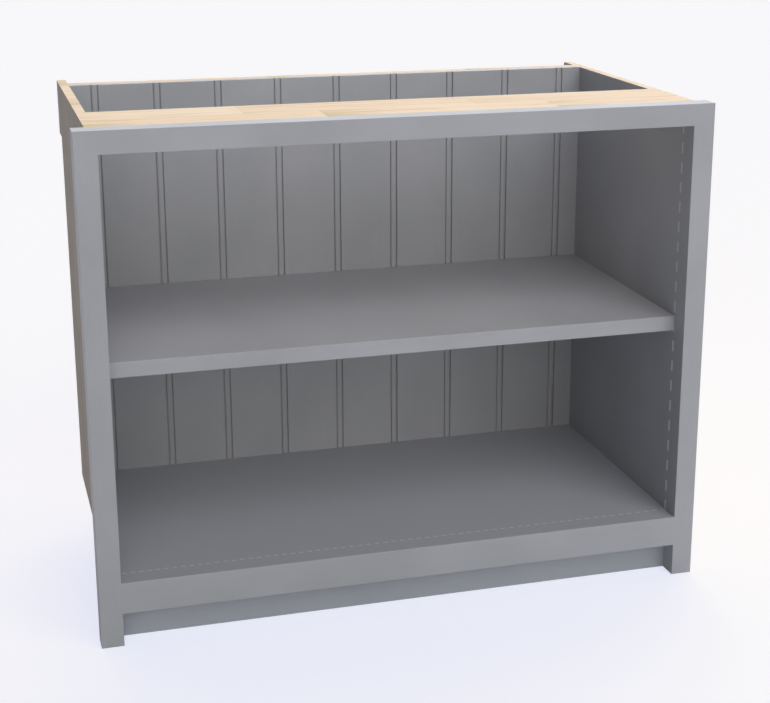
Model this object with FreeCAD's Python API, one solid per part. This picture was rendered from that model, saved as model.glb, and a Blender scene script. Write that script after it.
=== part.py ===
"""An open-fronted kitchen base unit: a painted face frame on a panel carcase, with a boarded back.

Millimetres. +X is to the right seen from the front, +Y runs from the front to the wall, +Z is up.
The origin is on the floor, under the middle of the unit's outer box.
"""

import FreeCAD
import Part

import math
import os

# Overall sizes
unit_width = 1000.0
unit_height = 808.0
unit_depth = 560.0

# Face frame
stile_width = 35.0
frame_thickness = 35.0
top_rail_height = 35.0
bottom_rail_height = 51.5
kick_height = 54.5
frame_arris = 0.8
tenon_length = 20.0
tenon_thickness = 10.0
tenon_shoulder = 5.0
mortise_gap = 0.1
mortise_bottom_gap = 1.0

# Carcase panels
side_thickness = 15.0
base_thickness = 15.0
stretcher_depth = 143.0
stretcher_thickness = 15.0
service_void_depth = 45.0
ear_height = 92.0
plinth_thickness = 18.0

# Boarded back
board_thickness = 15.0
board_pitch = 105.9
board_end_minimum = 25.0
bead_width = 11.0
bead_crown = 0.7
groove_width = 2.4
groove_depth = 3.0
tongue_length = 6.0
tongue_thickness = 5.0
tongue_gap = 0.3
tongue_end_gap = 1.0
back_rail_thickness = 20.0
back_rail_height = 70.0

# Shelf and the bent wires that it slides onto
shelf_thickness = 25.0
shelf_top = 451.5
shelf_gap = 0.5
shelf_arris = 1.0
wire_diameter = 3.0
wire_standoff = 4.0
wire_end_length = 11.0
wire_hole_gap = 0.05
wire_inset_front = 35.0
wire_inset_back = 30.0
kerf_depth = 8.0
kerf_gap = 0.3
kerf_stop = 25.0

# Dowels
dowel_diameter = 8.0
dowel_length = 30.0
dowel_gap = 0.05
dowel_end_gap = 0.5
dowel_in_side = 10.0
dowel_chamfer = 1.0

# Wood screws
screw_diameter = 4.0
screw_head_diameter = 8.0
screw_tip_length = 4.0
screw_gap = 0.05
screw_recess_width = 1.2
screw_recess_span = 4.2
screw_recess_depth = 1.6
back_screw_length = 30.0
plinth_screw_length = 35.0
leg_screw_length = 14.0

# Rear levelling legs
leg_inset_side = 75.0
leg_inset_back = 60.0
leg_plate_size = 64.0
leg_plate_thickness = 4.0
leg_plate_corner = 8.0
leg_screw_inset = 10.0
leg_boss_diameter = 28.0
leg_boss_length = 46.0
leg_rib_thickness = 4.0
leg_rib_span = 54.0
foot_thread_diameter = 10.0
foot_thread_pitch = 1.5
foot_thread_depth = 0.8
foot_thread_gap = 0.1
foot_lift_room = 16.0
foot_nut_across_flats = 17.0
foot_nut_height = 6.0
foot_pad_diameter = 44.0
foot_pad_height = 10.0
foot_pad_rim = 4.0
foot_pad_top_diameter = 24.0
foot_pin_diameter = 7.0
foot_pin_depth = 6.0
foot_pin_gap = 0.05

# Counts of the repeated fixings
side_dowel_count = 5
rail_dowel_count = 5
base_end_dowel_count = 5
stretcher_end_dowel_count = 2
back_rail_end_dowel_count = 2
plinth_rail_screw_count = 4

# Cuts run past a face by this much
overrun = 2.0

# Edges are told apart to within this length
edge_tolerance = 0.05

# Places worked out from the sizes
X = FreeCAD.Vector(1, 0, 0)
Y = FreeCAD.Vector(0, 1, 0)
Z = FreeCAD.Vector(0, 0, 1)
outer_x = unit_width / 2
inner_x = outer_x - stile_width
side_outer_x = inner_x + side_thickness
front_y = -unit_depth / 2
frame_back_y = front_y + frame_thickness
wall_y = unit_depth / 2
back_rail_back_y = wall_y - service_void_depth
board_back_y = back_rail_back_y - back_rail_thickness
board_front_y = board_back_y - board_thickness
opening_top = unit_height - top_rail_height
base_top = kick_height + bottom_rail_height
base_under = base_top - base_thickness
ear_under = unit_height - ear_height
stretcher_under = unit_height - stretcher_thickness
shelf_under = shelf_top - shelf_thickness
shelf_mid_z = shelf_top - shelf_thickness / 2
foot_screw_top = base_under - foot_lift_room
board_room = 2 * inner_x - 2 * board_end_minimum - bead_width
board_joint_count = 1 + int(board_room / board_pitch)
board_count = board_joint_count + 1
first_joint_x = -((board_joint_count - 1) * board_pitch + bead_width) / 2
frame_mid_y = front_y + frame_thickness / 2
leg_x = side_outer_x - leg_inset_side
leg_y = board_front_y - leg_inset_back


def point(x, y, z):
    """A place in the unit's own frame."""
    return FreeCAD.Vector(x, y, z)


def block(x0, x1, y0, y1, z0, z1):
    """A square-edged block between two corners."""
    return Part.makeBox(x1 - x0, y1 - y0, z1 - z0, point(x0, y0, z0))


def rod(radius, start, direction, length):
    """A round bar from a start point along a direction."""
    return Part.makeCylinder(radius, length, start, direction)


def mirrored(shape):
    """The same piece for the other side of the unit."""
    return shape.mirror(point(0, 0, 0), X)


def both_sides(shapes):
    """Each piece and its mirror image."""
    return list(shapes) + [mirrored(s) for s in shapes]


def spaced(low, high, count):
    """Places spread evenly from low to high, both ends included."""
    if count < 2:
        return [(low + high) / 2]
    return [low + (high - low) * i / (count - 1) for i in range(count)]


def level_ends(edge, direction, height):
    """Whether both ends of an edge lie at the same height along a direction."""
    return all(abs(v.Point.dot(direction) - height) < edge_tolerance for v in edge.Vertexes)


def turned(profile, place, direction):
    """A solid of revolution from (radius, height) points, stood at a place along a direction."""
    points = [point(r, 0, h) for r, h in profile]
    face = Part.Face(Part.makePolygon(points + points[:1]))
    solid = face.revolve(point(0, 0, 0), Z, 360)
    solid.Placement = FreeCAD.Placement(place, FreeCAD.Rotation(Z, direction))
    return solid


def dowel(place, direction, before, length=dowel_length):
    """A round dowel with eased ends that starts a little way behind its place."""
    radius = dowel_diameter / 2
    start = place - direction * before
    eased = radius - dowel_chamfer
    profile = [
        (0, 0),
        (eased, 0),
        (radius, dowel_chamfer),
        (radius, length - dowel_chamfer),
        (eased, length),
        (0, length),
    ]
    return turned(profile, start, direction)


def dowel_hole(place, direction, before, length=dowel_length):
    """The hole that a dowel sits in, a little wider and deeper than the dowel."""
    start = place - direction * (before + dowel_end_gap)
    radius = dowel_diameter / 2 + dowel_gap
    return rod(radius, start, direction, length + 2 * dowel_end_gap)


def screw(head, direction, length):
    """A countersunk wood screw with a cross recess; head is the middle of its flat top."""
    head_radius = screw_head_diameter / 2
    shank = screw_diameter / 2
    cone = head_radius - shank
    profile = [
        (0, 0),
        (head_radius, 0),
        (shank, cone),
        (shank, length - screw_tip_length),
        (0, length),
    ]
    body = turned(profile, head, direction)
    recess = [
        block(-a / 2, a / 2, -b / 2, b / 2, -overrun, screw_recess_depth)
        for a, b in (
            (screw_recess_span, screw_recess_width),
            (screw_recess_width, screw_recess_span),
        )
    ]
    for arm in recess:
        arm.Placement = FreeCAD.Placement(head, FreeCAD.Rotation(Z, direction))
    return body.cut(recess)


def screw_hole(head, direction, length):
    """The countersunk hole that a screw sits in."""
    head_radius = screw_head_diameter / 2 + screw_gap
    shank = screw_diameter / 2 + screw_gap
    cone = head_radius - shank
    profile = [
        (0, -overrun),
        (head_radius, -overrun),
        (head_radius, 0),
        (shank, cone),
        (shank, length + screw_gap),
        (0, length + screw_gap),
    ]
    return turned(profile, head, direction)


def side_dowel_sites():
    """Dowels from the right side panel's front edge into the stile."""
    x = inner_x + side_thickness / 2
    low = base_top + dowel_length
    high = opening_top - dowel_length
    return [point(x, frame_back_y, z) for z in spaced(low, high, side_dowel_count)]


def rail_dowel_sites(z):
    """Dowels from a level panel's front edge into a frame rail."""
    reach = inner_x - tenon_length - dowel_length
    return [point(x, frame_back_y, z) for x in spaced(-reach, reach, rail_dowel_count)]


def base_dowel_z():
    """The height of the dowels in the base panel."""
    return base_under + base_thickness / 2


def stretcher_dowel_z():
    """The height of the dowels in the stretcher."""
    return stretcher_under + stretcher_thickness / 2


def frame_dowel_sites():
    """Every dowel between the face frame and the carcase."""
    right = side_dowel_sites()
    left = [point(-p.x, p.y, p.z) for p in right]
    return right + left + rail_dowel_sites(base_dowel_z()) + rail_dowel_sites(stretcher_dowel_z())


def side_end_sites():
    """Dowels from the right side panel's inner face into the ends of the level pieces."""
    base = spaced(frame_back_y + dowel_length, board_front_y - dowel_length, base_end_dowel_count)
    stretcher_back = frame_back_y + stretcher_depth
    stretcher = spaced(
        frame_back_y + dowel_length, stretcher_back - dowel_length, stretcher_end_dowel_count
    )
    rail_y = board_back_y + back_rail_thickness / 2
    edge = back_rail_height / (back_rail_end_dowel_count + 2)
    heights = []
    for low in (base_under, unit_height - back_rail_height):
        heights += spaced(low + edge, low + back_rail_height - edge, back_rail_end_dowel_count)
    sites = [point(inner_x, y, base_dowel_z()) for y in base]
    sites += [point(inner_x, y, stretcher_dowel_z()) for y in stretcher]
    sites += [point(inner_x, rail_y, z) for z in heights]
    return sites


def frame_holes():
    """Holes for the dowels between frame and carcase."""
    return [dowel_hole(p, Y, dowel_length / 2) for p in frame_dowel_sites()]


def end_holes():
    """Holes for the dowels between the sides and the level pieces, on both sides."""
    inward = dowel_length - dowel_in_side
    return both_sides([dowel_hole(p, X, inward) for p in side_end_sites()])


def plinth_screw_sites():
    """Screws through the plinth board from behind: a row into the bottom rail, one into each stile."""
    back = frame_back_y + plinth_thickness
    reach = inner_x - tenon_length - dowel_length
    rail_z = kick_height + (base_under - kick_height) / 2
    row = [point(x, back, rail_z) for x in spaced(-reach, reach, plinth_rail_screw_count)]
    stile_x = inner_x + side_thickness / 2
    return row + [point(x, back, kick_height / 2) for x in (-stile_x, stile_x)]


def plinth_holes():
    """Holes for the plinth screws."""
    return [screw_hole(p, -Y, plinth_screw_length) for p in plinth_screw_sites()]


def board_edges(index):
    """Left and right visible edges of a back board, counted from 0 at the left."""
    left = -inner_x if index == 0 else first_joint_x + (index - 1) * board_pitch
    last = index == board_count - 1
    right = inner_x if last else first_joint_x + index * board_pitch
    return left, right


def back_screw_sites():
    """Screws through the two back rails, one into the middle of each board."""
    sites = []
    for index in range(board_count):
        left, right = board_edges(index)
        flat_left = left if index == 0 else left + bead_width
        x = (flat_left + right) / 2
        for low in (base_under, unit_height - back_rail_height):
            sites.append(point(x, back_rail_back_y, low + back_rail_height / 2))
    return sites


def back_holes():
    """Holes for the screws that hold the back boards."""
    return [screw_hole(p, -Y, back_screw_length) for p in back_screw_sites()]


def leg_screw_sites():
    """Screws up through the right leg's plate into the base panel."""
    reach = leg_plate_size / 2 - leg_screw_inset
    z = base_under - leg_plate_thickness
    return [
        point(leg_x + i * reach, leg_y + j * reach, z) for i in (-1, 1) for j in (-1, 1)
    ]


def leg_holes():
    """Holes for the leg screws, on both sides."""
    return both_sides([screw_hole(p, Z, leg_screw_length) for p in leg_screw_sites()])


def tenon(z0, z1, gap=0.0, end_gap=0.0):
    """The right-hand tenon of a rail that runs from z0 to z1, or its mortise if gaps are given."""
    half = tenon_thickness / 2 + gap
    low = z0 + tenon_shoulder - gap
    high = z1 - tenon_shoulder + gap
    start = inner_x if gap == 0 else inner_x - overrun
    end = inner_x + tenon_length + end_gap
    return block(start, end, frame_mid_y - half, frame_mid_y + half, low, high)


def face_frame():
    """The whole face frame as one outline, with its front edges eased, before it is parted."""
    outline = [
        point(-outer_x, front_y, 0),
        point(-inner_x, front_y, 0),
        point(-inner_x, front_y, kick_height),
        point(inner_x, front_y, kick_height),
        point(inner_x, front_y, 0),
        point(outer_x, front_y, 0),
        point(outer_x, front_y, unit_height),
        point(-outer_x, front_y, unit_height),
    ]
    face = Part.Face(Part.makePolygon(outline + outline[:1]))
    solid = face.extrude(Y * frame_thickness)
    opening = block(
        -inner_x,
        inner_x,
        front_y - overrun,
        frame_back_y + overrun,
        base_top,
        opening_top,
    )
    solid = solid.cut(opening)
    front = [e for e in solid.Edges if level_ends(e, Y, front_y)]
    return solid.makeFillet(frame_arris, front)


def frame_members():
    """The four members of the face frame: tenoned rails and mortised stiles."""
    whole = face_frame()
    behind = frame_back_y + overrun
    ahead = front_y - overrun
    stile = whole.common(
        block(inner_x, outer_x + overrun, ahead, behind, -overrun, unit_height + overrun)
    )
    mortises = [
        tenon(opening_top, unit_height, mortise_gap, mortise_bottom_gap),
        tenon(kick_height, base_top, mortise_gap, mortise_bottom_gap),
    ]
    stile = stile.cut(mortises)
    holes = frame_holes() + plinth_holes()
    members = {
        "right_stile": stile.cut(holes),
        "left_stile": mirrored(stile).cut(holes),
    }
    for name, low, high, reach in (
        ("frame_top_rail", opening_top, unit_height, unit_height + overrun),
        ("frame_bottom_rail", kick_height, base_top, base_top),
    ):
        rail = whole.common(block(-inner_x, inner_x, ahead, behind, low, reach))
        rail = rail.fuse(both_sides([tenon(low, high)])).removeSplitter()
        members[name] = rail.cut(holes)
    return members


def wire_path():
    """The centre line of the right shelf wire: into the side, along it, and into the side again."""
    bend = wire_standoff
    y0 = frame_back_y + wire_inset_front
    y1 = board_front_y - wire_inset_back
    run_x = inner_x - wire_standoff
    end_x = inner_x + wire_end_length
    diagonal = bend * (1 - math.sqrt(0.5))
    return [
        Part.LineSegment(point(end_x, y0, shelf_mid_z), point(inner_x, y0, shelf_mid_z)),
        Part.Arc(
            point(inner_x, y0, shelf_mid_z),
            point(run_x + diagonal, y0 + diagonal, shelf_mid_z),
            point(run_x, y0 + bend, shelf_mid_z),
        ),
        Part.LineSegment(
            point(run_x, y0 + bend, shelf_mid_z), point(run_x, y1 - bend, shelf_mid_z)
        ),
        Part.Arc(
            point(run_x, y1 - bend, shelf_mid_z),
            point(run_x + diagonal, y1 - diagonal, shelf_mid_z),
            point(inner_x, y1, shelf_mid_z),
        ),
        Part.LineSegment(point(inner_x, y1, shelf_mid_z), point(end_x, y1, shelf_mid_z)),
    ]


def shelf_wire():
    """The right-hand shelf wire, bent from round steel."""
    path = Part.Wire([piece.toShape() for piece in wire_path()])
    start = point(inner_x + wire_end_length, frame_back_y + wire_inset_front, shelf_mid_z)
    section = Part.Wire(Part.makeCircle(wire_diameter / 2, start, X))
    return path.makePipeShell([section], True, True)


def wire_holes():
    """The holes in the right side panel that hold the wire's ends."""
    radius = wire_diameter / 2 + wire_hole_gap
    depth = wire_end_length + wire_hole_gap + overrun
    ends = (frame_back_y + wire_inset_front, board_front_y - wire_inset_back)
    return [rod(radius, point(inner_x - overrun, y, shelf_mid_z), X, depth) for y in ends]


def shelf():
    """The loose shelf, kerfed at both ends from the back to slide onto the wires."""
    half = inner_x - shelf_gap
    y0 = frame_back_y
    y1 = board_front_y - shelf_gap
    solid = block(-half, half, y0, y1, shelf_under, shelf_top)
    faces = (shelf_under, shelf_top)
    front = [
        e
        for e in solid.Edges
        if level_ends(e, Y, y0) and any(level_ends(e, Z, z) for z in faces)
    ]
    solid = solid.makeFillet(shelf_arris, front)
    kerf_half = wire_diameter / 2 + kerf_gap
    kerf = block(
        half - kerf_depth,
        half + overrun,
        y0 + kerf_stop,
        y1 + overrun,
        shelf_mid_z - kerf_half,
        shelf_mid_z + kerf_half,
    )
    return solid.cut(both_sides([kerf]))


def side_panel():
    """The right side panel, cut back below its ear to leave room for services."""
    corners = [
        (frame_back_y, base_under),
        (back_rail_back_y, base_under),
        (back_rail_back_y, ear_under),
        (wall_y, ear_under),
        (wall_y, unit_height),
        (frame_back_y, unit_height),
    ]
    points = [point(inner_x, y, z) for y, z in corners]
    face = Part.Face(Part.makePolygon(points + points[:1]))
    panel = face.extrude(X * side_thickness)
    return panel.cut(wire_holes() + end_holes() + frame_holes())


def base_panel():
    """The bottom of the cupboard, level with the top of the bottom rail."""
    panel = block(-inner_x, inner_x, frame_back_y, board_front_y, base_under, base_top)
    return panel.cut(end_holes() + frame_holes() + leg_holes())


def top_stretcher():
    """The broad flat rail behind the face frame that carries the worktop."""
    back = frame_back_y + stretcher_depth
    panel = block(-inner_x, inner_x, frame_back_y, back, stretcher_under, unit_height)
    return panel.cut(end_holes() + frame_holes())


def plinth_board():
    """The kick board behind the stiles, under the base panel and the sides."""
    back = frame_back_y + plinth_thickness
    board = block(-side_outer_x, side_outer_x, frame_back_y, back, 0, base_under)
    return board.cut(plinth_holes())


def back_rail(low):
    """A level rail behind the boards, with its underside at low."""
    rail = block(
        -inner_x, inner_x, board_back_y, back_rail_back_y, low, low + back_rail_height
    )
    return rail.cut(end_holes() + back_holes())


def board_outline(index):
    """The section of one tongued, grooved and beaded board, as edges on the level of its foot."""
    left, right = board_edges(index)
    first = index == 0
    last = index == board_count - 1
    front = board_front_y
    back = board_back_y
    floor = front + groove_depth
    middle = (front + back) / 2
    half_tongue = tongue_thickness / 2
    half_slot = half_tongue + tongue_gap
    half_groove = groove_width / 2
    z = base_under

    def line(start, end):
        return Part.LineSegment(point(*start, z), point(*end, z)).toShape()

    # The front face, from the left edge to the right one.
    if first:
        places = [(left, back), (left, front)]
        edges = []
    else:
        bead_left = left + half_groove
        bead_right = left + bead_width - half_groove
        quirk_right = left + bead_width + half_groove
        crown_y = front + bead_crown
        edges = [
            line((left, floor), (bead_left, floor)),
            line((bead_left, floor), (bead_left, crown_y)),
            Part.Arc(
                point(bead_left, crown_y, z),
                point((bead_left + bead_right) / 2, front, z),
                point(bead_right, crown_y, z),
            ).toShape(),
            line((bead_right, crown_y), (bead_right, floor)),
            line((bead_right, floor), (quirk_right, floor)),
            line((quirk_right, floor), (quirk_right, front)),
        ]
        places = [(quirk_right, front)]
    # The right edge, with its tongue, and the back.
    if last:
        places += [(right, front), (right, back)]
    else:
        tip = right + tongue_length
        places += [
            (right - half_groove, front),
            (right - half_groove, floor),
            (right, floor),
            (right, middle - half_tongue),
            (tip, middle - half_tongue),
            (tip, middle + half_tongue),
            (right, middle + half_tongue),
            (right, back),
        ]
    # The left edge, with its slot, back to the start.
    if not first:
        slot = left + tongue_length + tongue_end_gap
        places += [
            (left, back),
            (left, middle + half_slot),
            (slot, middle + half_slot),
            (slot, middle - half_slot),
            (left, middle - half_slot),
            (left, floor),
        ]
    else:
        places.append(places[0])
    return edges + [line(a, b) for a, b in zip(places, places[1:])]


def back_board(index):
    """One vertical board of the back, from the underside of the base to the top."""
    wire = Part.Wire(Part.__sortEdges__(board_outline(index)))
    board = Part.Face(wire).extrude(Z * (unit_height - base_under))
    return board.cut(back_holes())


def leg_bracket():
    """The right leg's moulded plate, ribs and threaded boss."""
    half = leg_plate_size / 2
    plate_under = base_under - leg_plate_thickness
    plate = block(leg_x - half, leg_x + half, leg_y - half, leg_y + half, plate_under, base_under)
    faces = (plate_under, base_under)
    corners = [e for e in plate.Edges if not any(level_ends(e, Z, z) for z in faces)]
    plate = plate.makeFillet(leg_plate_corner, corners)
    boss_under = plate_under - leg_boss_length
    axis = point(leg_x, leg_y, boss_under)
    boss = rod(leg_boss_diameter / 2, axis, Z, leg_boss_length + leg_plate_thickness)
    rib_half = leg_rib_thickness / 2
    span_half = leg_rib_span / 2
    ribs = []
    for turn in (0, 90):
        wedge = [
            point(-span_half, -rib_half, plate_under),
            point(span_half, -rib_half, plate_under),
            point(leg_boss_diameter / 2, -rib_half, boss_under + leg_boss_length / 2),
            point(-leg_boss_diameter / 2, -rib_half, boss_under + leg_boss_length / 2),
        ]
        rib = Part.Face(Part.makePolygon(wedge + wedge[:1])).extrude(Y * leg_rib_thickness)
        rib.rotate(point(0, 0, 0), Z, turn)
        rib.translate(point(leg_x, leg_y, 0))
        ribs.append(rib)
    bracket = plate.fuse([boss] + ribs).removeSplitter()
    bore = rod(
        foot_thread_diameter / 2 + foot_thread_gap,
        axis - Z * overrun,
        Z,
        leg_boss_length + leg_plate_thickness + 2 * overrun,
    )
    holes = [screw_hole(p, Z, leg_screw_length) for p in leg_screw_sites()]
    return bracket.cut([bore] + holes)


def foot_screw():
    """The right foot's threaded rod, with a hexagon above the pad and a plain pin inside it."""
    crest = foot_thread_diameter / 2
    root = crest - foot_thread_depth
    pin = foot_pin_diameter / 2
    pin_foot = foot_pad_height - foot_pin_depth
    nut_top = foot_pad_height + foot_nut_height
    profile = [(0, pin_foot), (pin, pin_foot), (pin, foot_pad_height), (root, foot_pad_height)]
    profile.append((root, nut_top))
    turns = int((foot_screw_top - nut_top) / foot_thread_pitch)
    for i in range(turns):
        z = nut_top + i * foot_thread_pitch
        profile.append((crest, z + foot_thread_pitch / 2))
        profile.append((root, z + foot_thread_pitch))
    profile += [(root, foot_screw_top), (0, foot_screw_top)]
    place = point(leg_x, leg_y, 0)
    rod_part = turned(profile, place, Z)
    corner = foot_nut_across_flats / 2 / math.cos(math.pi / 6)
    hexagon = []
    for i in range(6):
        angle = math.radians(60 * i)
        hexagon.append(
            point(
                leg_x + corner * math.cos(angle),
                leg_y + corner * math.sin(angle),
                foot_pad_height,
            )
        )
    nut = Part.Face(Part.makePolygon(hexagon + hexagon[:1])).extrude(Z * foot_nut_height)
    return rod_part.fuse(nut).removeSplitter()


def foot_pad():
    """The right foot's round pad, with a socket for the pin of the threaded rod."""
    radius = foot_pad_diameter / 2
    socket = foot_pin_diameter / 2 + foot_pin_gap
    socket_floor = foot_pad_height - foot_pin_depth - foot_pin_gap
    top = foot_pad_height - foot_pin_gap
    profile = [
        (0, 0),
        (radius, 0),
        (radius, foot_pad_rim),
        (foot_pad_top_diameter / 2, top),
        (socket, top),
        (socket, socket_floor),
        (0, socket_floor),
    ]
    return turned(profile, point(leg_x, leg_y, 0), Z)


def carcase_dowels():
    """The dowels between the side panels and the level pieces."""
    inward = dowel_length - dowel_in_side
    return Part.makeCompound(both_sides([dowel(p, X, inward) for p in side_end_sites()]))


def frame_dowels():
    """The dowels between the face frame and the carcase."""
    return Part.makeCompound([dowel(p, Y, dowel_length / 2) for p in frame_dowel_sites()])


def screws(sites, direction, length):
    """A group of like screws."""
    return Part.makeCompound([screw(p, direction, length) for p in sites])


def assembly():
    """Every piece of the unit by name."""
    parts = frame_members()
    side = side_panel()
    bracket = leg_bracket()
    parts["right_side_panel"] = side
    parts["left_side_panel"] = mirrored(side)
    parts["base_panel"] = base_panel()
    parts["top_stretcher"] = top_stretcher()
    parts["plinth_board"] = plinth_board()
    parts["back_rail_bottom"] = back_rail(base_under)
    parts["back_rail_top"] = back_rail(unit_height - back_rail_height)
    for index in range(board_count):
        parts[f"back_board_{index + 1:02d}"] = back_board(index)
    parts["shelf"] = shelf()
    wire = shelf_wire()
    parts["right_shelf_wire"] = wire
    parts["left_shelf_wire"] = mirrored(wire)
    parts["carcase_dowels"] = carcase_dowels()
    parts["frame_dowels"] = frame_dowels()
    parts["back_board_screws"] = screws(back_screw_sites(), -Y, back_screw_length)
    parts["plinth_screws"] = screws(plinth_screw_sites(), -Y, plinth_screw_length)
    leg_sites = leg_screw_sites()
    leg_sites += [point(-p.x, p.y, p.z) for p in leg_sites]
    parts["leg_screws"] = screws(leg_sites, Z, leg_screw_length)
    parts["right_leg_bracket"] = bracket
    parts["left_leg_bracket"] = mirrored(bracket)
    for side_name, turn in (("right", lambda s: s), ("left", mirrored)):
        parts[f"{side_name}_foot_screw"] = turn(foot_screw())
        parts[f"{side_name}_foot_pad"] = turn(foot_pad())
    return parts


def main():
    """Writes one STEP file for each piece."""
    os.makedirs("parts", exist_ok=True)
    for name, shape in assembly().items():
        good = shape.isValid() and all(s.Volume > 0 for s in shape.Solids)
        print(f"{name}: {len(shape.Solids)} solid(s), {shape.Volume / 1000:.1f} cm3, valid {good}")
        shape.exportStep(os.path.join("parts", f"{name}.step"))


main()
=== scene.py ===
"""The open-fronted base unit, dressed for its portrait: satin grey paint over wood, with bare stave board
on the top, the outer sides and the back, and black plastic and steel for the rear levelling feet.

Metres, in the unit's own frame: +X right, +Y to the wall, +Z up, with the floor at zero.
"""

import math

import bmesh
import bpy
from mathutils import Matrix, Vector


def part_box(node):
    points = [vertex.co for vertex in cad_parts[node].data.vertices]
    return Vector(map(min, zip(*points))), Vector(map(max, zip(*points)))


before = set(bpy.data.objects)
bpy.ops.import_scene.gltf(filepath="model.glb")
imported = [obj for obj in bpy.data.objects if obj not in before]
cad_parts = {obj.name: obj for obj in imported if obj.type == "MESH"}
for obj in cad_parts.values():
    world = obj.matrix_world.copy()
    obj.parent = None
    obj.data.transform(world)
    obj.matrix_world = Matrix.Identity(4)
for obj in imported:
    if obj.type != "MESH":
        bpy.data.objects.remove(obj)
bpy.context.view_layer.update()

# The photograph's frame, in pixels
PHOTO_WIDTH = 770
PHOTO_HEIGHT = 703

# The camera, solved from the unit's straight edges: its place, its axes and its lens
CAMERA_PLACE = Vector((-0.66393, -2.54653, 1.17737))
CAMERA_RIGHT = Vector((0.96042, -0.27855, 0.00055))
CAMERA_DOWN = Vector((-0.07696, -0.26725, -0.96055))
CAMERA_AHEAD = Vector((0.26771, 0.92249, -0.27810))
FOCAL_PIXELS = 1586.4
CENTRE_PIXEL_X = 407.77
CENTRE_PIXEL_Y = 318.71
SENSOR_WIDTH = 36.0

# Places read from the model
BOARD_FRONT_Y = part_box("back_board_01")[0].y
BOARD_BACK_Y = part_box("back_board_01")[1].y
BOARD_JOINT_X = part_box("back_board_02")[0].x
BOARD_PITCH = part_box("back_board_03")[0].x - BOARD_JOINT_X
SEAM_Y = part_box("base_panel")[0].y
SHELF_UNDER_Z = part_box("shelf")[0].z


def linear(red, green, blue):
    """A screen colour of 0 to 255 as the linear colour that shaders take, by the sRGB formula."""

    def channel(value):
        share = value / 255.0
        return share / 12.92 if share <= 0.04045 else ((share + 0.055) / 1.055) ** 2.4

    return (channel(red), channel(green), channel(blue), 1.0)


# Colours of the finishes
PAINT_LIGHT = linear(169, 170, 176)
PAINT_DARK = linear(155, 157, 162)
# Painted light: a paler copy of the paint for faces that look up
PAINT_TOP_LIGHT = linear(189, 190, 196)
# Painted shade: a cooler copy of the paint for the plinth, for the bluer light that reaches it
PAINT_COOL_SHADE = linear(162, 169, 181)
PAINT_CHIP = linear(198, 194, 186)
GROOVE_SHADE = linear(92, 93, 97)
SEAM_LIGHT = linear(226, 226, 228)
STAVE_FACE = {
    "pale": linear(253, 225, 184),
    "warm": linear(245, 213, 167),
    "fleck": linear(220, 168, 108),
    "olive": linear(200, 172, 98),
    "pore": linear(178, 146, 100),
    "glue_and_gap_shade": linear(160, 128, 84),
}
# Painted shade: the stave wood darkened, for the bare backs of the back boards
REAR_SHADED_FACE = {
    "pale": linear(226, 198, 156),
    "warm": linear(212, 180, 136),
    "fleck": linear(188, 150, 104),
    "olive": linear(188, 160, 104),
    "pore": linear(160, 128, 88),
    "glue_and_gap_shade": linear(112, 86, 58),
}
# Painted shade: the stave wood darkened and greyed, for the sides' outer faces, which stand in shade
SIDE_SHADED_FACE = {
    "pale": linear(154, 139, 124),
    "warm": linear(142, 126, 111),
    "fleck": linear(128, 110, 94),
    "olive": linear(134, 118, 98),
    "pore": linear(106, 91, 78),
    "glue_and_gap_shade": linear(104, 90, 77),
}
BEECH = linear(206, 172, 132)
BEECH_FLECK = linear(168, 138, 100)
STEEL = linear(190, 192, 196)
ZINC = linear(196, 196, 186)
ZINC_DULL = linear(150, 150, 142)
PLASTIC = linear(38, 39, 41)
PLASTIC_DUST = linear(78, 78, 78)
FLOOR = linear(244, 246, 250)
FLOOR_SEEN = linear(190, 173, 93)
FLOOR_GLOW_COLOUR = linear(213, 222, 255)
BACKDROP_COLOUR = linear(250, 250, 250)
BLACK = linear(0, 0, 0)

# The span that most of a noise's values lie in
NOISE_SPAN = (0.3, 0.7)

# A noise's detail in octaves, and the usual weight of each octave beside the one before
PLAIN = 1.0
FINE = 2.0
MIXED = 3.0
RICH = 4.0
EVEN = 0.5

# A face looks along an axis where that share of its normal is above this
MOSTLY = 0.5

# The middle of a row or a cell, whose edges are at 0 and 1
HALF_SHARE = 0.5

# Soft edges: samples of the rounded normal, and how far it leans before the edge counts in full
BEVEL_SAMPLES = 6
EDGE_LEAN = 0.35

# The Mix node's own sockets for each kind of value: its first input and its output
MIX_SOCKETS = {"FLOAT": (2, 0), "VECTOR": (4, 1), "RGBA": (6, 2)}


class Nodes:
    """A node tree, with short calls for the nodes that the finishes and the sky share."""

    def __init__(self, tree):
        self.tree = tree

    def node(self, kind, **settings):
        made = self.tree.nodes.new(kind)
        for key, value in settings.items():
            setattr(made, key, value)
        return made

    def feed(self, socket, value):
        """Links an output to a socket, or sets the socket to a plain value."""
        if isinstance(value, bpy.types.NodeSocket):
            self.tree.links.new(value, socket)
        else:
            socket.default_value = value

    def maths(self, operation, first, second=None):
        made = self.node("ShaderNodeMath", operation=operation)
        self.feed(made.inputs[0], first)
        if second is not None:
            self.feed(made.inputs[1], second)
        return made.outputs[0]

    def dot(self, first, second):
        made = self.node("ShaderNodeVectorMath", operation="DOT_PRODUCT")
        self.feed(made.inputs[0], first)
        self.feed(made.inputs[1], second)
        return made.outputs["Value"]

    def added(self, first, second):
        made = self.node("ShaderNodeVectorMath", operation="ADD")
        self.feed(made.inputs[0], first)
        self.feed(made.inputs[1], second)
        return made.outputs["Vector"]

    def scaled(self, vector, factor):
        made = self.node("ShaderNodeVectorMath", operation="SCALE")
        self.feed(made.inputs[0], vector)
        self.feed(made.inputs["Scale"], factor)
        return made.outputs["Vector"]


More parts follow.
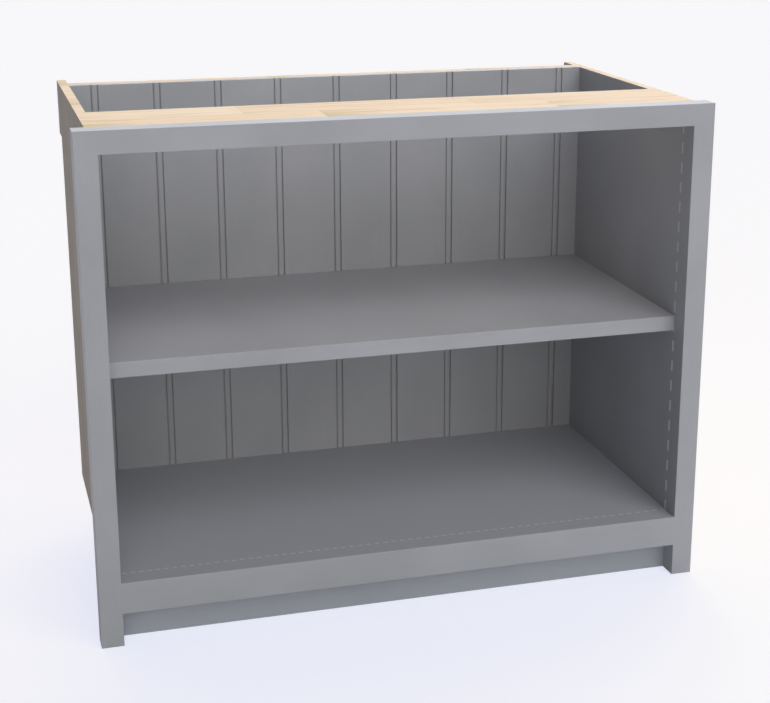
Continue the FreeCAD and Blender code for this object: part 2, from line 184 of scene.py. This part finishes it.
class Sheet(Nodes):
    """One material's node tree; place is the point in the unit's own frame, in metres."""

    def __init__(self, name):
        self.material = bpy.data.materials.new(name)
        self.material.use_nodes = True
        super().__init__(self.material.node_tree)
        self.shader = self.tree.nodes["Principled BSDF"]
        self.place = self.node("ShaderNodeTexCoord").outputs["Object"]

    def parts_of(self, vector):
        made = self.node("ShaderNodeSeparateXYZ")
        self.feed(made.inputs[0], vector)
        return made.outputs[0], made.outputs[1], made.outputs[2]

    def joined(self, x, y, z):
        made = self.node("ShaderNodeCombineXYZ")
        for socket, value in zip(made.inputs, (x, y, z)):
            self.feed(socket, value)
        return made.outputs[0]

    def noise(self, vector, scale, detail=MIXED, roughness=EVEN):
        made = self.node("ShaderNodeTexNoise")
        self.feed(made.inputs["Vector"], vector)
        made.inputs["Scale"].default_value = scale
        made.inputs["Detail"].default_value = detail
        made.inputs["Roughness"].default_value = roughness
        return made.outputs["Fac"]

    def random(self, vector):
        made = self.node("ShaderNodeTexWhiteNoise", noise_dimensions="3D")
        self.feed(made.inputs["Vector"], vector)
        return made.outputs["Value"]

    def ranged(self, value, low, high, new_low=0.0, new_high=1.0):
        """A value carried from one range to another and held inside it."""
        made = self.node("ShaderNodeMapRange", clamp=True)
        for socket, number in zip(made.inputs, (value, low, high, new_low, new_high)):
            self.feed(socket, number)
        return made.outputs[0]

    def mixed(self, kind, share, first, second):
        """A share of the second value mixed into the first."""
        made = self.node("ShaderNodeMix", data_type=kind)
        start, out = MIX_SOCKETS[kind]
        self.feed(made.inputs[0], share)
        self.feed(made.inputs[start], first)
        self.feed(made.inputs[start + 1], second)
        return made.outputs[out]

    def blended(self, share, first, second):
        """One colour mixed into another."""
        return self.mixed("RGBA", share, first, second)

    def between(self, share, first, second):
        """One number mixed into another."""
        return self.mixed("FLOAT", share, first, second)

    def bump(self, height, distance):
        made = self.node("ShaderNodeBump")
        self.feed(made.inputs["Height"], height)
        made.inputs["Distance"].default_value = distance
        return made.outputs[0]

    def edge(self, radius):
        """1 on sharp edges and 0 on flat faces, from how far a rounded normal leans off the true one."""
        rounded = self.node("ShaderNodeBevel", samples=BEVEL_SAMPLES)
        rounded.inputs["Radius"].default_value = radius
        true_normal = self.node("ShaderNodeNewGeometry").outputs["Normal"]
        return self.ranged(self.dot(rounded.outputs[0], true_normal), 1.0 - EDGE_LEAN, 1.0, 1.0, 0.0)

    def facing(self):
        """The way that the surface looks, as its three shares in the unit's own frame."""
        turned = self.node("ShaderNodeVectorTransform", vector_type="NORMAL")
        turned.convert_from = "WORLD"
        turned.convert_to = "OBJECT"
        self.feed(turned.inputs[0], self.node("ShaderNodeNewGeometry").outputs["True Normal"])
        return self.parts_of(turned.outputs[0])

    def finish(self, colour, roughness, normal=None):
        self.feed(self.shader.inputs["Base Color"], colour)
        self.feed(self.shader.inputs["Roughness"], roughness)
        if normal is not None:
            self.feed(self.shader.inputs["Normal"], normal)
        return self.material


# The wood's two layouts: edge-glued staves, and whole boards one joint apart.
# slip is how far the rows' ends are shifted at random, as a share of a length.
STAVES = {
    "width": 0.0773,
    "length": 0.370,
    "edge": -0.257,
    "start": -0.490,
    "slip": 1.0,
    "joint": 0.0005,
    "joint_share": 0.30,
    "olive": 1.0,
}
# The boards' joint line is painted shade in the gap between two boards; the staves' is a glue line.
BOARDS = {
    "width": BOARD_PITCH,
    "length": 4.0,
    "edge": BOARD_JOINT_X,
    "start": -1.0,
    "slip": 0.0,
    "joint": 0.0012,
    "joint_share": 0.80,
    "olive": 0.0,
}
ROW_SEED = (5.2, 1.3)
CELL_SEED = 7.1

# The wood's figure, pores and flecks: repeats per metre along and across the grain, spans and strengths
FIGURE_ALONG = 2.2
FIGURE_ACROSS = 46.0
FIGURE_DRIFT = 9.0
FIGURE_SPAN = (0.2, 0.8)
FIGURE_HARSHNESS = 0.55
PORE_ALONG = 26.0
PORE_ACROSS = 900.0
PORE_SPAN = (0.60, 0.78)
PORE_STRENGTH = 0.22
PORE_DEPTH = 0.8
FLECK_ALONG = 5.5
FLECK_ACROSS = 130.0
FLECK_DEEP = 60.0
FLECK_DRIFT = 31.0
FLECK_SPAN = (0.51, 0.74)
FLECK_STRENGTH = 0.80
FLECK_HARSHNESS = 0.6
TONE_DRAW = 0.5
TONE_SPAN = (0.35, 1.05)
WOOD_ROUGHNESS = (0.50, 0.60)
WOOD_RELIEF = 0.00012

# The olive tint at the start of some staves: the first row of every three has it in full, the rest a little
OLIVE_EVERY = 3.0
OLIVE_FIRST = 0.5
OLIVE_ELSEWHERE = 0.30
OLIVE_FADE_SHARE = 0.26
OLIVE_FAR_SHARE = 0.45
OLIVE_SPAN = (0.25, 0.60)


def stretched(sheet, ways, rates, drift=0.0):
    """A point with its along, across and deep parts each multiplied, for a noise with a grain."""
    along, across, deep = (sheet.maths("MULTIPLY", way, rate) for way, rate in zip(ways, rates))
    return sheet.joined(along, across, sheet.maths("ADD", deep, drift))


def joint_lines(sheet, row_share, cell_share, layout):
    """1 on the line where two staves or boards meet, and 0 away from it."""
    sideways = sheet.maths("MULTIPLY", sheet.maths("PINGPONG", row_share, HALF_SHARE), layout["width"])
    endways = sheet.maths("MULTIPLY", sheet.maths("PINGPONG", cell_share, HALF_SHARE), layout["length"])
    nearest = sheet.maths("MINIMUM", sideways, endways)
    return sheet.ranged(nearest, 0.0, layout["joint"], 1.0, 0.0)


def olive_tint(sheet, olive_row, draw, row_share, cell_share, figure, layout):
    """How olive the wood is: most at a stave's start, fading along it and towards its far edge."""
    lengthways = sheet.ranged(cell_share, 0.0, OLIVE_FADE_SHARE, 1.0, 0.0)
    sideways = sheet.ranged(row_share, 0.0, 1.0, 1.0, OLIVE_FAR_SHARE)
    amount = sheet.between(olive_row, sheet.maths("MULTIPLY", draw, OLIVE_ELSEWHERE), 1.0)
    fade = sheet.maths("MULTIPLY", sheet.maths("MULTIPLY", lengthways, sideways), amount)
    fade = sheet.maths("MULTIPLY", fade, layout["olive"])
    return sheet.maths("MULTIPLY", fade, sheet.ranged(figure, *OLIVE_SPAN))


def stave_of(sheet, along, across, layout):
    """A point's stave: how far across and along it the point is, its random draw, and if its row is olive."""
    step = sheet.maths("DIVIDE", sheet.maths("SUBTRACT", across, layout["edge"]), layout["width"])
    row = sheet.maths("FLOOR", step)
    turn = sheet.maths("FLOORED_MODULO", row, OLIVE_EVERY)
    olive_row = sheet.maths("LESS_THAN", turn, OLIVE_FIRST)
    row_draw = sheet.maths("MULTIPLY", sheet.random(sheet.joined(row, *ROW_SEED)), layout["slip"])
    run = sheet.maths("DIVIDE", sheet.maths("SUBTRACT", along, layout["start"]), layout["length"])
    run = sheet.maths("ADD", run, sheet.between(olive_row, row_draw, 0.0))
    draw = sheet.random(sheet.joined(row, sheet.maths("FLOOR", run), CELL_SEED))
    return sheet.maths("FRACT", step), sheet.maths("FRACT", run), draw, olive_row


def wood(sheet, ways, palette, layout=STAVES):
    """Colour, roughness and height of bare wood; ways are along the grain, across it and deep."""
    row_share, cell_share, draw, olive_row = stave_of(sheet, ways[0], ways[1], layout)
    figure_rates = (FIGURE_ALONG, FIGURE_ACROSS, FIGURE_ACROSS)
    grain = stretched(sheet, ways, figure_rates, sheet.maths("MULTIPLY", draw, FIGURE_DRIFT))
    figure = sheet.noise(grain, 1.0, RICH, FIGURE_HARSHNESS)
    fine = stretched(sheet, ways, (PORE_ALONG, PORE_ACROSS, PORE_ACROSS))
    pores = sheet.ranged(sheet.noise(fine, 1.0, FINE), *PORE_SPAN)
    fleck_rates = (FLECK_ALONG, FLECK_ACROSS, FLECK_DEEP)
    streaks = stretched(sheet, ways, fleck_rates, sheet.maths("MULTIPLY", draw, FLECK_DRIFT))
    flecks = sheet.ranged(sheet.noise(streaks, 1.0, MIXED, FLECK_HARSHNESS), *FLECK_SPAN)
    olive = olive_tint(sheet, olive_row, draw, row_share, cell_share, figure, layout)
    glue_and_gap_shade = joint_lines(sheet, row_share, cell_share, layout)

    tone = sheet.ranged(sheet.maths("ADD", sheet.maths("MULTIPLY", draw, TONE_DRAW), figure), *TONE_SPAN)
    colour = sheet.blended(tone, palette["pale"], palette["warm"])
    colour = sheet.blended(sheet.maths("MULTIPLY", flecks, FLECK_STRENGTH), colour, palette["fleck"])
    colour = sheet.blended(olive, colour, palette["olive"])
    colour = sheet.blended(sheet.maths("MULTIPLY", pores, PORE_STRENGTH), colour, palette["pore"])
    # Joint lines: glue between staves, and painted shade in the gap between boards
    colour = sheet.blended(sheet.maths("MULTIPLY", glue_and_gap_shade, layout["joint_share"]), colour, palette["glue_and_gap_shade"])
    roughness = sheet.ranged(figure, *FIGURE_SPAN, *WOOD_ROUGHNESS)
    height = sheet.maths("SUBTRACT", figure, sheet.maths("MULTIPLY", pores, PORE_DEPTH))
    return colour, roughness, height


# Satin paint: repeats per metre of its clouds, brush strokes, orange peel and worn patches, and strengths
CLOUD_SCALE = 5.0
STROKE_ALONG = 7.0
STROKE_ACROSS = 420.0
STROKE_SHARE = 0.14
PEEL_SCALE = 900.0
PEEL_SHARE = 0.5
WEAR_SCALE = 60.0
WEAR_SPAN = (0.50, 0.72)
WEAR_STRENGTH = 0.35
WEAR_RADIUS = 0.0012
PAINT_ROUGHNESS = (0.40, 0.50)
PAINT_RELIEF = 0.00004


def paint_coat(sheet, along, across):
    """Colour, roughness and height of satin paint laid off along the grain, with wood just telling."""
    x, y, z = sheet.parts_of(sheet.place)
    cloud = sheet.noise(sheet.place, CLOUD_SCALE)
    deep = sheet.maths("ADD", x, sheet.maths("ADD", y, z))
    laid = stretched(sheet, (along, across, deep), (STROKE_ALONG, STROKE_ACROSS, 1.0))
    strokes = sheet.noise(laid, 1.0, FINE)
    peel = sheet.noise(sheet.place, PEEL_SCALE, PLAIN)
    shade = sheet.between(STROKE_SHARE, cloud, strokes)
    colour = sheet.blended(sheet.ranged(shade, *NOISE_SPAN), PAINT_DARK, PAINT_LIGHT)
    patches = sheet.ranged(sheet.noise(sheet.place, WEAR_SCALE), *WEAR_SPAN)
    wear = sheet.maths("MULTIPLY", sheet.edge(WEAR_RADIUS), patches)
    colour = sheet.blended(sheet.maths("MULTIPLY", wear, WEAR_STRENGTH), colour, PAINT_CHIP)
    roughness = sheet.ranged(shade, *NOISE_SPAN, *PAINT_ROUGHNESS)
    height = sheet.maths("ADD", strokes, sheet.maths("MULTIPLY", peel, PEEL_SHARE))
    return colour, roughness, height


# The pale broken line where the carcase meets the back of the face frame: each seam's way, the length of
# a dash and its gap at the start, where that is, how many more come in a metre than if they stayed as long,
# and the line's width
LEVEL_SEAM = {"way": "x", "dash": 0.0143, "start": -0.0089, "closing": -7.2, "width": 0.0028}
UPRIGHT_SEAM = {"way": "z", "dash": 0.0371, "start": 0.1027, "closing": 3.3, "width": 0.0052}
SEAM_DASH_SHARE = 0.54
SEAM_STRENGTH_BELOW = 0.90
SEAM_STRENGTH_ABOVE = 0.50

# How much painted light the paint that looks up takes, inside and on the base, and how much painted cool
# shade the plinth takes
INSIDE_TOP_LIGHT = 0.30
BASE_TOP_LIGHT = 0.85
PLINTH_COOL_SHADE = 0.5

# How far the painted front wraps round a back board, how deep a groove's lip is, and how much of the painted
# groove shade the grooves take
BOARD_BARE_DEPTH = 0.0002
GROOVE_LIP = 0.0009
GROOVE_SHADE_SHARE = 0.2


def seam_line(sheet, ways, seam, colour):
    """The paint's colour with the pale dashed seam laid over it, fainter above the shelf than below it."""
    near = sheet.maths("LESS_THAN", sheet.maths("SUBTRACT", ways["y"], SEAM_Y), seam["width"])
    run = sheet.maths("SUBTRACT", ways[seam["way"]], seam["start"])
    closer = sheet.maths("MULTIPLY", sheet.maths("MULTIPLY", run, run), seam["closing"])
    beat = sheet.maths("FRACT", sheet.maths("ADD", sheet.maths("DIVIDE", run, seam["dash"]), closer))
    on = sheet.maths("LESS_THAN", beat, SEAM_DASH_SHARE)
    above = sheet.maths("GREATER_THAN", ways["z"], SHELF_UNDER_Z)
    strength = sheet.between(above, SEAM_STRENGTH_BELOW, SEAM_STRENGTH_ABOVE)
    shown = sheet.maths("MULTIPLY", sheet.maths("MULTIPLY", near, on), strength)
    return sheet.blended(shown, colour, SEAM_LIGHT)


def painted_coat(sheet, grain, top_light=0.0, seam=None, shaded=None):
    """Colour, roughness and normal of the paint, with painted light where it looks up, its seam and its
    painted groove shade.
    """
    ways = dict(zip("xyz", sheet.parts_of(sheet.place)))
    across = sheet.maths("ADD", ways["y"], ways["x" if grain == "z" else "z"])
    colour, roughness, height = paint_coat(sheet, ways[grain], across)
    # Painted light: faces that look up are lightened towards a paler copy of the paint
    if top_light:
        up = sheet.maths("GREATER_THAN", sheet.facing()[2], MOSTLY)
        colour = sheet.blended(sheet.maths("MULTIPLY", up, top_light), colour, PAINT_TOP_LIGHT)
    if seam is not None:
        colour = seam_line(sheet, ways, seam, colour)
    if shaded is not None:
        colour = sheet.blended(sheet.maths("MULTIPLY", shaded, GROOVE_SHADE_SHARE), colour, GROOVE_SHADE)
    return colour, roughness, sheet.bump(height, PAINT_RELIEF)


def coat_over(sheet, share, coat, bare):
    """Paint over the share of the surface that it covers, with bare wood on the rest."""
    coat_colour, coat_roughness, coat_normal = coat
    colour, roughness, height = bare
    normal = sheet.mixed("VECTOR", share, sheet.bump(height, WOOD_RELIEF), coat_normal)
    colour = sheet.blended(share, colour, coat_colour)
    return sheet.finish(colour, sheet.between(share, roughness, coat_roughness), normal)


def painted(name, grain, top_light=0.0):
    """Satin grey paint all over, laid off along one axis, with painted light on faces that look up where a
    share of it is given.
    """
    sheet = Sheet(name)
    return sheet.finish(*painted_coat(sheet, grain, top_light))


def base_finish():
    """The base panel: paint on top with painted light and the seam, bare board below."""
    sheet = Sheet("paint_base")
    up = sheet.maths("GREATER_THAN", sheet.facing()[2], MOSTLY)
    bare = wood(sheet, sheet.parts_of(sheet.place), STAVE_FACE)
    return coat_over(sheet, up, painted_coat(sheet, "x", BASE_TOP_LIGHT, LEVEL_SEAM), bare)


def side_finish(name, outward):
    """A side panel: paint inside as far as the boarded back, pale stave on top, and outside the same stave
    darkened and greyed as painted shade.
    """
    sheet = Sheet(name)
    x, y, z = sheet.parts_of(sheet.place)
    look_x, _, look_z = sheet.facing()
    inward = sheet.maths("LESS_THAN", sheet.maths("MULTIPLY", look_x, outward), -MOSTLY)
    ahead = sheet.maths("LESS_THAN", y, BOARD_FRONT_Y)
    up = sheet.maths("GREATER_THAN", look_z, MOSTLY)
    edge_colour, edge_roughness, edge_height = wood(sheet, (x, y, z), STAVE_FACE)
    # Painted shade: the outer faces take the stave wood darkened and greyed
    face_colour, face_roughness, face_height = wood(sheet, (z, y, x), SIDE_SHADED_FACE)
    bare = (
        sheet.blended(up, face_colour, edge_colour),
        sheet.between(up, face_roughness, edge_roughness),
        sheet.between(up, face_height, edge_height),
    )
    share = sheet.maths("MULTIPLY", inward, ahead)
    return coat_over(sheet, share, painted_coat(sheet, "z", seam=UPRIGHT_SEAM), bare)


def board_finish():
    """The back boards: paint in front, in the grooves and over the top ends, with painted shade in the
    grooves, and bare wood darkened as painted shade behind.
    """
    sheet = Sheet("paint_boards")
    x, y, z = sheet.parts_of(sheet.place)
    before = sheet.maths("LESS_THAN", y, BOARD_BACK_Y - BOARD_BARE_DEPTH)
    # Painted shade: the bare backs take a darkened copy of the stave wood
    bare = wood(sheet, (z, x, y), REAR_SHADED_FACE, BOARDS)
    # Painted shade: groove faces behind the lip, other than the top ends, are darkened
    sunk = sheet.maths("GREATER_THAN", y, BOARD_FRONT_Y + GROOVE_LIP)
    level = sheet.maths("LESS_THAN", sheet.facing()[2], MOSTLY)
    coat = painted_coat(sheet, "z", shaded=sheet.maths("MULTIPLY", sunk, level))
    return coat_over(sheet, before, coat, bare)


def plinth_finish():
    """The plinth board: paint in front tinted cooler as painted shade, bare wood behind."""
    sheet = Sheet("paint_plinth")
    x, y, z = sheet.parts_of(sheet.place)
    forward = sheet.maths("LESS_THAN", sheet.facing()[1], -MOSTLY)
    colour, roughness, normal = painted_coat(sheet, "x")
    # Painted shade: the plinth's paint is tinted cooler
    coat = (sheet.blended(PLINTH_COOL_SHADE, colour, PAINT_COOL_SHADE), roughness, normal)
    return coat_over(sheet, forward, coat, wood(sheet, (x, z, y), STAVE_FACE))


def bare_stave(name):
    """Bare pale stave board all over, with the staves along the unit's width."""
    sheet = Sheet(name)
    colour, roughness, height = wood(sheet, sheet.parts_of(sheet.place), STAVE_FACE)
    return sheet.finish(colour, roughness, sheet.bump(height, WOOD_RELIEF))


# Metal: repeats per metre of its dulled patches and scratches, and how much rougher the dull parts are
PATCH_SCALE = 180.0
PATCH_SPAN = (0.4, 0.7)
SCRATCH_SCALE = 1400.0
METAL_ROUGHER = 0.18
METAL_RELIEF = 0.00001
WIRE_ROUGHNESS = 0.25
ZINC_ROUGHNESS = 0.34


def metal(name, light, dull, roughness):
    """Plated or drawn steel with fine scratches and dulled patches."""
    sheet = Sheet(name)
    patches = sheet.noise(sheet.place, PATCH_SCALE)
    scratches = sheet.noise(sheet.place, SCRATCH_SCALE, PLAIN)
    colour = sheet.blended(sheet.ranged(patches, *PATCH_SPAN), light, dull)
    rough = sheet.ranged(patches, *NOISE_SPAN, roughness, roughness + METAL_ROUGHER)
    sheet.shader.inputs["Metallic"].default_value = 1.0
    return sheet.finish(colour, rough, sheet.bump(scratches, METAL_RELIEF))


# Moulded plastic: repeats per metre of its spark-eroded texture and of the dust on it
SPARK_SCALE = 1600.0
DUST_SCALE = 70.0
DUST_SPAN = (0.52, 0.75)
DUST_STRENGTH = 0.35
PLASTIC_ROUGHNESS = (0.48, 0.62)
PLASTIC_RELIEF = 0.00003


def moulded(name):
    """Matt black plastic with a fine spark-eroded texture and a little dust."""
    sheet = Sheet(name)
    texture = sheet.noise(sheet.place, SPARK_SCALE, FINE)
    dust = sheet.ranged(sheet.noise(sheet.place, DUST_SCALE, RICH), *DUST_SPAN)
    colour = sheet.blended(sheet.maths("MULTIPLY", dust, DUST_STRENGTH), PLASTIC, PLASTIC_DUST)
    rough = sheet.ranged(texture, *NOISE_SPAN, *PLASTIC_ROUGHNESS)
    return sheet.finish(colour, rough, sheet.bump(texture, PLASTIC_RELIEF))


# Turned beech: repeats per metre of its flecks
BEECH_SCALE = 500.0
BEECH_SPAN = (0.4, 0.7)
BEECH_ROUGHNESS = 0.6
BEECH_RELIEF = 0.00005


def turned_beech(name):
    """Bare beech dowel with short flecks."""
    sheet = Sheet(name)
    fleck = sheet.noise(sheet.place, BEECH_SCALE)
    colour = sheet.blended(sheet.ranged(fleck, *BEECH_SPAN), BEECH, BEECH_FLECK)
    return sheet.finish(colour, BEECH_ROUGHNESS, sheet.bump(fleck, BEECH_RELIEF))


def dress(names, material):
    """Gives CAD pieces one finish."""
    for name in names:
        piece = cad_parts[name]
        piece.data.materials.clear()
        piece.data.materials.append(material)


def finishes():
    """Makes every finish and puts it on its pieces."""
    dress(["left_stile", "right_stile"], painted("paint_upright", "z"))
    dress(["frame_top_rail"], painted("paint_level", "x"))
    # The sill and the shelf take painted light where they look up
    dress(["frame_bottom_rail"], painted("paint_sill", "x", BASE_TOP_LIGHT))
    dress(["shelf"], painted("paint_shelf", "x", INSIDE_TOP_LIGHT))
    dress(["plinth_board"], plinth_finish())
    dress(["base_panel"], base_finish())
    dress(["left_side_panel"], side_finish("left_side", -1.0))
    dress(["right_side_panel"], side_finish("right_side", 1.0))
    boards = [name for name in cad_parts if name.startswith("back_board_") and name[-1].isdigit()]
    dress(boards, board_finish())
    dress(["top_stretcher"], bare_stave("stave_stretcher"))
    dress(["back_rail_top", "back_rail_bottom"], bare_stave("stave_rails"))
    dress(["left_shelf_wire", "right_shelf_wire"], metal("drawn_steel", STEEL, ZINC_DULL, WIRE_ROUGHNESS))
    screws = ["back_board_screws", "plinth_screws", "leg_screws", "left_foot_screw", "right_foot_screw"]
    dress(screws, metal("zinc_plate", ZINC, ZINC_DULL, ZINC_ROUGHNESS))
    feet = ["left_leg_bracket", "right_leg_bracket", "left_foot_pad", "right_foot_pad"]
    dress(feet, moulded("black_plastic"))
    dress(["carcase_dowels", "frame_dowels"], turned_beech("beech"))


def in_scene(name, data):
    """Makes an object and puts it in the scene."""
    made = bpy.data.objects.new(name, data)
    bpy.context.scene.collection.objects.link(made)
    return made


def camera():
    """The photograph's camera."""
    data = bpy.data.cameras.new("camera")
    data.sensor_width = SENSOR_WIDTH
    data.lens = FOCAL_PIXELS / PHOTO_WIDTH * SENSOR_WIDTH
    data.shift_x = (PHOTO_WIDTH / 2 - CENTRE_PIXEL_X) / PHOTO_WIDTH
    data.shift_y = (CENTRE_PIXEL_Y - PHOTO_HEIGHT / 2) / PHOTO_WIDTH
    made = in_scene("camera", data)
    turn = Matrix((CAMERA_RIGHT, -CAMERA_DOWN, -CAMERA_AHEAD)).transposed()
    made.matrix_world = Matrix.Translation(CAMERA_PLACE) @ turn.to_4x4()
    bpy.context.scene.camera = made


# The studio's tints, then its broad glows in the sky: bearing and height in degrees, strength and tint
WARM = (1.04, 1.00, 0.86)
WHITE = (1.00, 1.00, 1.00)
COOL = (0.96, 0.98, 1.06)
GLOWS = (
    (0, 8, 1.45, WARM),
    (0, 42, 1.1, COOL),
    (25, 22, 0.55, WHITE),
    (135, 8, 3.5, COOL),
    (180, 8, 1.8, COOL),
    (180, 42, 0.7, WARM),
    (180, 65, 0.6, COOL),
    (-120, 42, 0.2, COOL),
)
GLOW_NARROWNESS = 8.0

# The soft box high in front on the right
KEY_PLACE = Vector((1.0, -1.7, 2.2))
KEY_TARGET = Vector((0.0, -0.2, 0.5))
KEY_SIZE = 1.2
KEY_POWER = 9.0

# The floor, and the shell beyond it, each with its glow; the sheet that gives the bounce is a step lower.
# The floor that shows is warm with a cool glow, which together are white, so shade on it turns blue.
FLOOR_REACH = 20.0
FLOOR_GLOW = 0.87
FLOOR_ROUGHNESS = 0.8
FLOOR_STEP = 0.0005
BACKDROP_REACH = 30.0
BACKDROP_GLOW = 1.0
BACKDROP_ROUGHNESS = 1.0
BACKDROP_SEGMENTS = 64


def glow(nodes, look, bearing, height, strength, tint):
    """A soft glow in the sky round one direction; bearing 0 is in front of the unit and 90 on its right."""
    turn = math.radians(bearing)
    rise = math.radians(height)
    way = (math.sin(turn) * math.cos(rise), -math.cos(turn) * math.cos(rise), math.sin(rise))
    toward = nodes.maths("MAXIMUM", nodes.dot(look, way), 0.0)
    narrow = nodes.maths("POWER", toward, GLOW_NARROWNESS)
    return nodes.scaled([strength * share for share in tint], narrow)


def sky():
    """The surrounding light: broad glows in front and behind, strongest behind on the right."""
    world = bpy.data.worlds.new("studio")
    world.use_nodes = True
    nodes = Nodes(world.node_tree)
    look = nodes.node("ShaderNodeTexCoord").outputs["Generated"]
    total = (0.0, 0.0, 0.0)
    for bearing, height, strength, tint in GLOWS:
        total = nodes.added(total, glow(nodes, look, bearing, height, strength, tint))
    nodes.feed(world.node_tree.nodes["Background"].inputs["Color"], total)
    bpy.context.scene.world = world


def key_light():
    """A soft box near enough to fall off down the unit."""
    data = bpy.data.lights.new("key", "AREA")
    data.shape = "SQUARE"
    data.size = KEY_SIZE
    data.energy = KEY_POWER
    made = in_scene("key", data)
    made.location = KEY_PLACE
    made.rotation_euler = (KEY_TARGET - KEY_PLACE).to_track_quat("-Z", "Y").to_euler()


def glowing(name, colour, roughness, glow_colour, strength):
    """A stage finish without sheen and with a glow of its own."""
    sheet = Sheet(name)
    sheet.shader.inputs["Specular IOR Level"].default_value = 0.0
    sheet.shader.inputs["Emission Color"].default_value = glow_colour
    sheet.shader.inputs["Emission Strength"].default_value = strength
    return sheet.finish(colour, roughness)


def seen_only(made):
    """Shows a piece of the stage to the camera and keeps it out of the unit's light."""
    made.visible_diffuse = False
    made.visible_glossy = False
    made.visible_transmission = False
    made.visible_shadow = False


def floor_plane(name, material):
    """A broad level sheet at the unit's feet."""
    mesh = bpy.data.meshes.new(name)
    half = FLOOR_REACH
    corners = [(-half, -half, 0), (half, -half, 0), (half, half, 0), (-half, half, 0)]
    mesh.from_pydata(corners, [], [(0, 1, 2, 3)])
    mesh.materials.append(material)
    made = in_scene(name, mesh)
    return made


def backdrop():
    """A pale shell far beyond the floor, for a camera that looks level."""
    form = bmesh.new()
    rings = BACKDROP_SEGMENTS // 2
    bmesh.ops.create_uvsphere(form, u_segments=BACKDROP_SEGMENTS, v_segments=rings, radius=BACKDROP_REACH)
    mesh = bpy.data.meshes.new("backdrop")
    form.to_mesh(mesh)
    form.free()
    mesh.materials.append(glowing("backdrop", BLACK, BACKDROP_ROUGHNESS, BACKDROP_COLOUR, BACKDROP_GLOW))
    made = in_scene("backdrop", mesh)
    seen_only(made)


def studio():
    """A pale floor, seen bright but giving only a plain floor's bounce, under the surrounding light."""
    sky()
    key_light()
    backdrop()
    shown = glowing("floor_seen", FLOOR_SEEN, FLOOR_ROUGHNESS, FLOOR_GLOW_COLOUR, FLOOR_GLOW)
    seen_only(floor_plane("floor_seen", shown))
    giver = floor_plane("floor_bounce", Sheet("floor_bounce").finish(FLOOR, FLOOR_ROUGHNESS))
    giver.location.z = -FLOOR_STEP
    giver.visible_camera = False
    view = bpy.context.scene.view_settings
    view.view_transform = "Standard"
    view.look = "None"


finishes()
camera()
studio()
